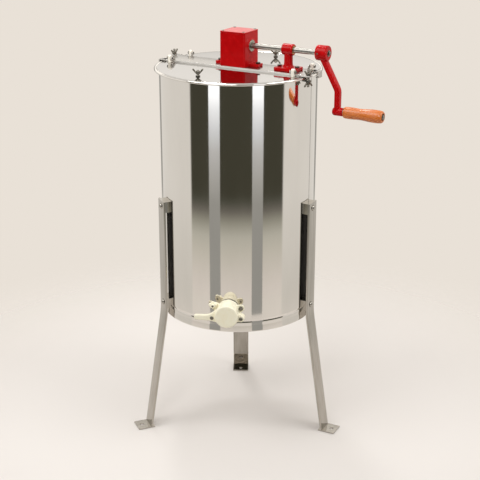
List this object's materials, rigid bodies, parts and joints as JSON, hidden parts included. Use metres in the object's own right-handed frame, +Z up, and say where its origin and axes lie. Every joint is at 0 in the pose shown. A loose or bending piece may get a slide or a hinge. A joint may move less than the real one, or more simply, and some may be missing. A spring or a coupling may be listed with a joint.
{
  "type": "hand crank honey centrifuge",
  "caption": "Floor-standing hand crank honey centrifuge: polished steel drum on three legs, red bevel gearbox, crank, two hinged half lids, two-frame basket and honey gate.",
  "frame": {"origin": "on the drum's axis at the floor, midway under the three legs", "axes": "+Z up along the drum's axis, +X along the crossbar towards the crank, +Y across the crossbar away from the honey gate's side"},
  "size_m": [0.5759, 0.4584, 0.976],
  "materials": {
    "polished_steel": "mirror polished stainless sheet",
    "leg_steel": "plain rolled stainless",
    "fastener_steel": "zinc plated or bare, slightly dark",
    "shaft_steel": "turned and ground",
    "gear_iron": "machined and greased",
    "bearing_metal": "turned bronze, the outer flange dull",
    "red_paint": "glossy red enamel on castings",
    "varnished_wood": "varnished orange brown turned beech",
    "nylon_white": "white nylon",
    "gate_plastic": "ivory moulded plastic",
    "gasket_rubber": "black rubber"
  },
  "bodies": {
    "stand": {"drum_wall": "polished_steel", "drum_bottom": "polished_steel", "leg_right": "leg_steel", "leg_left": "leg_steel", "leg_rear": "leg_steel", "foot_plates": "leg_steel", "leg_blocks": "leg_steel", "leg_bolts": "fastener_steel", "crossbar": "polished_steel", "hinge_pins": "fastener_steel", "clamp_rods": "fastener_steel", "clamp_jaws": "fastener_steel", "gearbox_housing": "red_paint", "gearbox_cover": "red_paint", "cover_screws": "fastener_steel", "foot_bolts": "fastener_steel", "crank_bushes": "bearing_metal", "rotor_bush": "bearing_metal", "support_bracket": "red_paint", "support_bush": "bearing_metal", "bottom_bearing_cup": "bearing_metal", "thrust_ball": "shaft_steel", "gate_body": "gate_plastic", "gate_gaskets": "gasket_rubber", "gate_lock_nut": "gate_plastic", "gate_pivot_screw": "fastener_steel", "gate_side_nut": "fastener_steel", "gate_stud": "fastener_steel"},
    "crank": {"crank_shaft": "shaft_steel", "crank_gear": "gear_iron", "crank_gear_pin": "fastener_steel", "crank_arm": "red_paint", "crank_end_screw": "fastener_steel", "crank_set_screw": "fastener_steel", "handle_bolt": "fastener_steel", "handle_end_nut": "fastener_steel"},
    "grip": {"wooden_handle": "varnished_wood", "handle_bush": "bearing_metal"},
    "rotor": {"rotor_shaft": "shaft_steel", "rotor_pinion": "gear_iron", "pinion_pin": "fastener_steel", "basket_spiders": "shaft_steel", "basket_frames": "shaft_steel", "basket_mesh": "shaft_steel"},
    "front_lid": {"front_lid": "polished_steel", "front_lid_lugs": "nylon_white", "front_lid_screw": "fastener_steel"},
    "rear_lid": {"rear_lid": "polished_steel", "rear_lid_lugs": "nylon_white", "rear_lid_screw": "fastener_steel"},
    "front_lid_nut": {"front_lid_nut": "fastener_steel"},
    "rear_lid_nut": {"rear_lid_nut": "fastener_steel"},
    "clamp_nut_right": {"clamp_nut_right": "fastener_steel"},
    "clamp_nut_left": {"clamp_nut_left": "fastener_steel"},
    "jaw_nut_right": {"jaw_nut_right": "fastener_steel"},
    "jaw_nut_left": {"jaw_nut_left": "fastener_steel"},
    "gate_flap": {"gate_flap": "gate_plastic", "gate_latch_bolt": "fastener_steel"},
    "gate_wing_nut": {"gate_wing_nut": "gate_plastic"}
  },
  "joints": [
    {"name": "rotor_spin", "type": "hinge", "parent": "stand", "child": "rotor", "pos_m": [0, 0, 0.356], "axis": [0, 0, 1], "continuous": true},
    {"name": "crank_turn", "type": "hinge", "parent": "stand", "child": "crank", "pos_m": [0.2, 0, 0.9414], "axis": [1, 0, 0], "continuous": true},
    {"name": "handle_spin", "type": "hinge", "parent": "crank", "child": "grip", "pos_m": [0.3, 0, 0.8131], "axis": [1, 0, 0], "continuous": true},
    {"name": "front_lid_hinge", "type": "hinge", "parent": "stand", "child": "front_lid", "pos_m": [0, -0.0397, 0.9005], "axis": [-1, 0, 0], "range_deg": [0, 92]},
    {"name": "rear_lid_hinge", "type": "hinge", "parent": "stand", "child": "rear_lid", "pos_m": [0, 0.0397, 0.9005], "axis": [1, 0, 0], "range_deg": [0, 92]},
    {"name": "front_lid_nut_turn", "type": "hinge", "parent": "front_lid", "child": "front_lid_nut", "pos_m": [-0.02, -0.146, 0.8991], "axis": [0, 0, 1], "continuous": true},
    {"name": "rear_lid_nut_turn", "type": "hinge", "parent": "rear_lid", "child": "rear_lid_nut", "pos_m": [0.02, 0.146, 0.8991], "axis": [0, 0, 1], "continuous": true},
    {"name": "clamp_nut_right_turn", "type": "hinge", "parent": "stand", "child": "clamp_nut_right", "pos_m": [0.19813, -0.032, 0.8985], "axis": [0, 0, 1], "continuous": true},
    {"name": "clamp_nut_left_turn", "type": "hinge", "parent": "stand", "child": "clamp_nut_left", "pos_m": [-0.19813, 0.032, 0.8985], "axis": [0, 0, 1], "continuous": true},
    {"name": "jaw_nut_right_turn", "type": "hinge", "parent": "stand", "child": "jaw_nut_right", "pos_m": [0.19813, -0.032, 0.8765], "axis": [0, 0, 1], "continuous": true},
    {"name": "jaw_nut_left_turn", "type": "hinge", "parent": "stand", "child": "jaw_nut_left", "pos_m": [-0.19813, 0.032, 0.8765], "axis": [0, 0, 1], "continuous": true},
    {"name": "gate_flap_swing", "type": "hinge", "parent": "stand", "child": "gate_flap", "pos_m": [0.11431, -0.18613, 0.346], "axis": [0.3907, -0.9205, 0], "range_deg": [-90, 0]},
    {"name": "gate_wing_nut_turn", "type": "hinge", "parent": "stand", "child": "gate_wing_nut", "pos_m": [0.04979, -0.20483, 0.3701], "axis": [0.3907, -0.9205, 0], "continuous": true}
  ],
  "couplings": [
    {"joint": "crank_turn", "follows": "rotor_spin", "ratio": 0.5}
  ]
}
